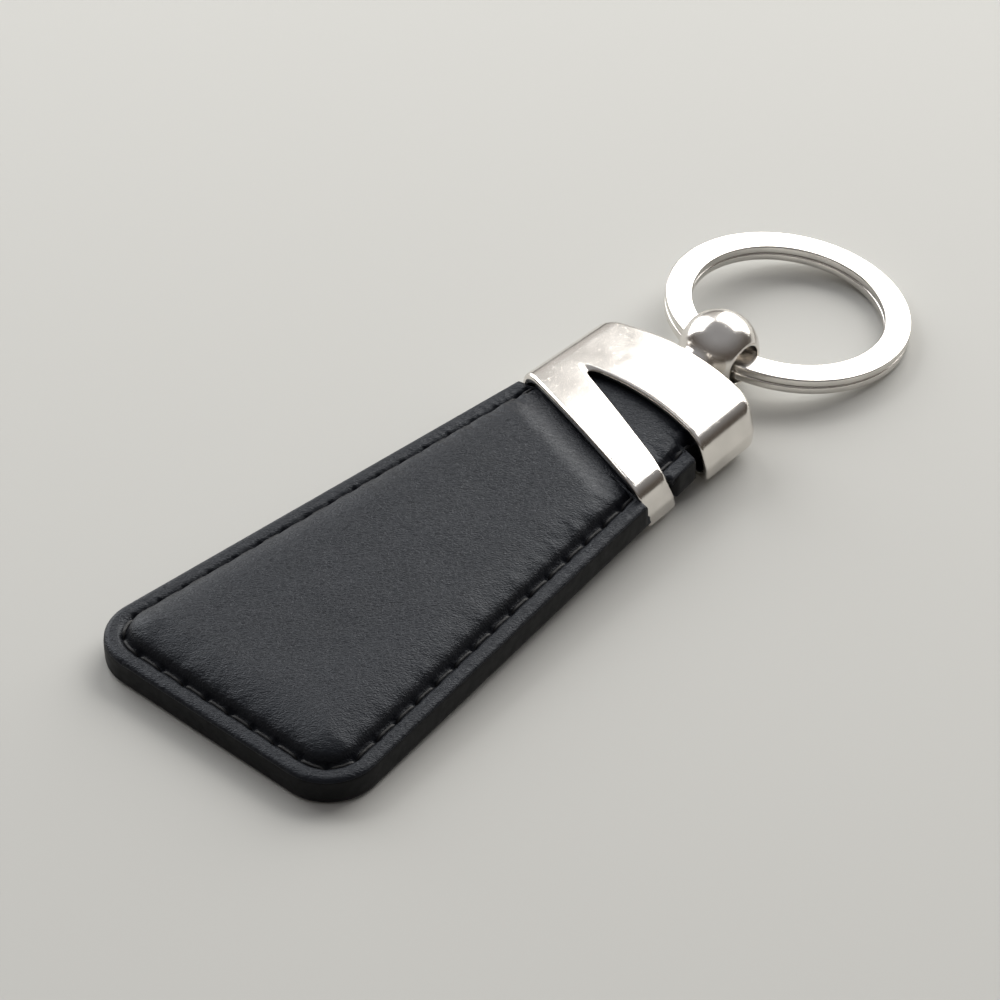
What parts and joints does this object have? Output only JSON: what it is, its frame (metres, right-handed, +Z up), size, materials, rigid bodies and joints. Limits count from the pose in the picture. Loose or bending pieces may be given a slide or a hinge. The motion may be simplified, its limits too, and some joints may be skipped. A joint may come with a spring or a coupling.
{
  "type": "leather key fob with split ring",
  "caption": "Padded leather key fob with a slotted metal end cap, a swivelling ball link and a flat split ring for keys.",
  "frame": {"origin": "bottom centre of the whole object's box, on the surface it lies on", "axes": "+X from the leather's wide end to the split ring, +Z up"},
  "size_m": [0.1142, 0.0388, 0.0097],
  "materials": {
    "black_leather": "black full-grain leather, satin finish, fine pebbled grain",
    "foam_pad": "closed foam, hidden",
    "stiffener_board": "bonded leather board, hidden but for its dyed edge",
    "black_thread": "waxed black polyester thread",
    "polished_nickel": "polished nickel plate, lightly worn",
    "plain_steel": "turned steel, hidden",
    "ring_nickel": "nickel-plated spring steel, lightly scratched"
  },
  "bodies": {
    "fob": {"upper_leather": "black_leather", "crown_pad": "foam_pad", "stiffener_board": "stiffener_board", "lower_leather": "black_leather", "needle_thread": "black_thread", "bobbin_thread": "black_thread", "end_cap": "polished_nickel", "cap_pin_near": "polished_nickel", "cap_pin_far": "polished_nickel"},
    "swivel": {"ball_link": "polished_nickel", "swivel_pin": "plain_steel", "swivel_washer": "plain_steel"},
    "ring": {"split_ring": "ring_nickel"}
  },
  "joints": [
    {"name": "ball_swivel", "type": "hinge", "parent": "fob", "child": "swivel", "pos_m": [0.02911, 0, 0.00485], "axis": [0.9994, 0, 0.0354], "continuous": true},
    {"name": "ring_swing", "type": "hinge", "parent": "swivel", "child": "ring", "pos_m": [0.02911, 0, 0.00485], "axis": [-0.0029, 0.9966, 0.0828], "range_deg": [-145, 130]}
  ]
}
